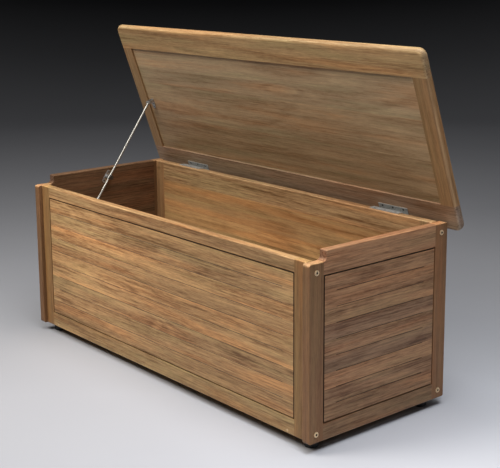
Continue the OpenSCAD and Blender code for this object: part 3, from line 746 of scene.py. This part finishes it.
def foot_material():
    m = Net("foot_plastic")
    here = m.node("ShaderNodeTexCoord").outputs["Object"]
    pebble = m.node("ShaderNodeTexVoronoi", {"Vector": here, "Scale": PEBBLES}).outputs[0]
    scuff = m.noise(here, 4.0, 0.6, scale=SCUFFS)
    colour = m.mix(m.step(scuff, 0.52, 0.72), FOOT_BLACK, FOOT_GREY)
    rough = m.muladd(scuff, 0.25, 0.42)
    paint("feet", m.surface(colour, rough, pebble, FOOT_BUMP, FOOT_BUMP_STRENGTH))


# ---------------------------------------------------------------- arrises

FRAME_ARRIS = 0.9 * MM
FLOOR_ARRIS = 1.2 * MM
LEAF_ARRIS = 0.35 * MM
ARRIS_SEGMENTS = 2
ARRIS_ANGLE = math.radians(40)


def soften(name, width):
    """Takes the sharp arrises off a CAD node."""
    mod = nodes[name].modifiers.new("arris", "BEVEL")
    mod.width = width
    mod.segments = ARRIS_SEGMENTS
    mod.limit_method = "ANGLE"
    mod.angle_limit = ARRIS_ANGLE
    mod.harden_normals = False
    mod.use_clamp_overlap = True


def soften_all():
    for name in nodes:
        if "stile" in name or "rail" in name or "panel" in name:
            soften(name, FRAME_ARRIS)
        elif name == "floor_slats" or "bearer" in name and "screws" not in name:
            soften(name, FLOOR_ARRIS)
        elif "leaf" in name:
            soften(name, LEAF_ARRIS)


# ---------------------------------------------------------------- stage, light and camera

# The camera: where it stands, which way it looks, and its lens in millimetres on a 36 mm sensor.
CAMERA_AT = Vector((2.98086, -2.39487, 1.40927))
CAMERA_YAW = math.radians(50.12)
CAMERA_PITCH = math.radians(11.50)
CAMERA_ROLL = math.radians(-0.45)
LENS = 82.67
SENSOR = 36.0
SHIFT_X, SHIFT_Y = 0.0048, -0.0980

# The floor, in metres: its flat middle, the wall's distance and height, and the curve between them,
# with the number of steps in that curve and of turns round the middle.
FLAT = 3.0
WALL, WALL_TOP, CURVE = 9.0, 4.5, 3.0
CURVE_STEPS, TURNS = 16, 96

# Painted shade on the floor and wall, standing in for light that falls off: how pale the paint is
# with distance behind the box. Round the other sides the distance counts from the start given after
# the table on, and each metre up the wall counts as the number after that.
SWEEP_FALLOFF_SHADE = [
    (-0.3, 0.92), (0.05, 0.82), (0.45, 0.72), (0.9, 0.64), (1.6, 0.57), (2.4, 0.52),
    (3.6, 0.50), (5.3, 0.44), (8.0, 0.16), (9.5, 0.04), (10.2, 0.008), (12.0, 0.005),
]
FALLOFF_SHADE_START = 2.5
WALL_FALLOFF_SHADE = 1.6
FALLOFF_SHADE_BLUE = 1.02

# Area lights: place, aim, watts, width, height and colour.
AREA_LIGHTS = {
    "key": ((-0.9, -2.6, 3.6), (-0.1, -0.1, 0.4), 115, 1.6, 1.6, (1.0, 0.96, 0.90)),
    "top": ((0.5, -0.5, 3.6), (0.4, -0.1, 0.5), 112, 3.0, 2.4, (0.97, 0.985, 1.0)),
    "fill": ((2.1, -0.9, 3.2), (1.2, -0.2, 0.0), 18, 1.5, 1.5, (0.91, 0.94, 1.0)),
}
# Spot lights: place, aim, watts, cone in degrees, radius and colour.
SPOT_LIGHTS = {
    "glow": ((-1.2, -2.1, 2.4), (-0.42, -0.29, 0.40), 210, 18, 0.25, (1.0, 0.95, 0.88)),
    "floor": ((2.2, -0.6, 3.2), (1.55, -0.15, 0.0), 340, 52, 0.6, (0.90, 0.94, 1.0)),
}
SKY_COLOUR = (0.90, 0.94, 1.0, 1.0)
SKY_STRENGTH = 0.13


def sweep_mesh():
    """A floor that is round in plan and curves up into a low wall far away on every side."""
    profile = [(FLAT, 0.0)]
    for i in range(CURVE_STEPS + 1):
        a = i / CURVE_STEPS * math.pi / 2
        profile.append((WALL - CURVE + CURVE * math.sin(a), CURVE - CURVE * math.cos(a)))
    profile.append((WALL, WALL_TOP))
    verts, faces = [], [tuple(range(TURNS))]
    for reach, z in profile:
        for k in range(TURNS):
            turn = 2 * math.pi * k / TURNS
            verts.append((reach * math.cos(turn), reach * math.sin(turn), z))
    for i in range(len(profile) - 1):
        for k in range(TURNS):
            ring, after = i * TURNS, (k + 1) % TURNS
            faces.append((ring + k, ring + TURNS + k, ring + TURNS + after, ring + after))
    mesh = bpy.data.meshes.new("sweep")
    mesh.from_pydata(verts, [], faces)
    for p in mesh.polygons:
        p.use_smooth = True
    return mesh


def sweep_paint_with_shade():
    """Plain pale paint, with painted shade that darkens it with distance from the box."""
    m = Net("sweep_paint_with_shade")
    here = m.node("ShaderNodeTexCoord").outputs["Object"]
    cloud = m.noise(here, 3.0, 0.5, scale=1.5)
    x, y, z = m.split(here)
    away = m.muladd(z, WALL_FALLOFF_SHADE, m.math("MAXIMUM", y, m.sub(m.far(x, y), FALLOFF_SHADE_START)))
    pale = m.mix(cloud, srgb(180, 180, 183), srgb(186, 186, 188))
    near, far = SWEEP_FALLOFF_SHADE[0][0], SWEEP_FALLOFF_SHADE[-1][0]
    # painted shade that deepens with distance
    falloff_shade = m.ramp(m.mul(m.sub(away, near), 1 / (far - near)), [
        ((at - near) / (far - near), (k, k, k * FALLOFF_SHADE_BLUE)) for at, k in SWEEP_FALLOFF_SHADE
    ])
    return m.surface(m.tinted(pale, falloff_shade), 0.75, Specular_IOR_Level=0.0)


def stage_floor():
    mesh = sweep_mesh()
    mesh.materials.append(sweep_paint_with_shade())
    o = bpy.data.objects.new("sweep", mesh)
    o.rotation_euler = (0, 0, CAMERA_YAW)
    bpy.context.scene.collection.objects.link(o)


def light(name, kind, where, aim, power, colour):
    """Hangs a light where it looks at its aim, and returns its data."""
    data = bpy.data.lights.new(name, kind)
    data.energy = power
    data.color = colour
    o = bpy.data.objects.new(name, data)
    o.location = where
    o.rotation_euler = (Vector(aim) - Vector(where)).to_track_quat("-Z", "Y").to_euler()
    bpy.context.scene.collection.objects.link(o)
    return data


def studio():
    world = bpy.data.worlds.new("studio")
    world.use_nodes = True
    background = world.node_tree.nodes["Background"]
    background.inputs[0].default_value = SKY_COLOUR
    background.inputs[1].default_value = SKY_STRENGTH
    bpy.context.scene.world = world
    for name, (where, aim, power, width, height, colour) in AREA_LIGHTS.items():
        data = light(name, "AREA", where, aim, power, colour)
        data.shape = "RECTANGLE"
        data.size, data.size_y = width, height
    for name, (where, aim, power, cone, radius, colour) in SPOT_LIGHTS.items():
        data = light(name, "SPOT", where, aim, power, colour)
        data.spot_size = math.radians(cone)
        data.spot_blend = 1.0
        data.shadow_soft_size = radius
    settings = bpy.context.scene.view_settings
    settings.view_transform = "Standard"
    settings.look = "None"


def camera():
    data = bpy.data.cameras.new("camera")
    data.sensor_width = SENSOR
    data.lens = LENS
    data.shift_x, data.shift_y = SHIFT_X, SHIFT_Y
    data.clip_end = 100
    o = bpy.data.objects.new("camera", data)
    ahead = Vector((
        -math.sin(CAMERA_YAW) * math.cos(CAMERA_PITCH),
        math.cos(CAMERA_YAW) * math.cos(CAMERA_PITCH),
        -math.sin(CAMERA_PITCH),
    ))
    right = Vector((math.cos(CAMERA_YAW), math.sin(CAMERA_YAW), 0))
    up = right.cross(ahead)
    c, s = math.cos(CAMERA_ROLL), math.sin(CAMERA_ROLL)
    right, up = c * right + s * up, c * up - s * right
    o.matrix_world = Matrix((
        (right.x, up.x, -ahead.x, CAMERA_AT.x),
        (right.y, up.y, -ahead.y, CAMERA_AT.y),
        (right.z, up.z, -ahead.z, CAMERA_AT.z),
        (0, 0, 0, 1),
    ))
    bpy.context.scene.collection.objects.link(o)
    bpy.context.scene.camera = o


face_materials()
end_materials()
lid_materials()
floor_materials()
metal_materials()
foot_material()
soften_all()
stage_floor()
studio()
camera()
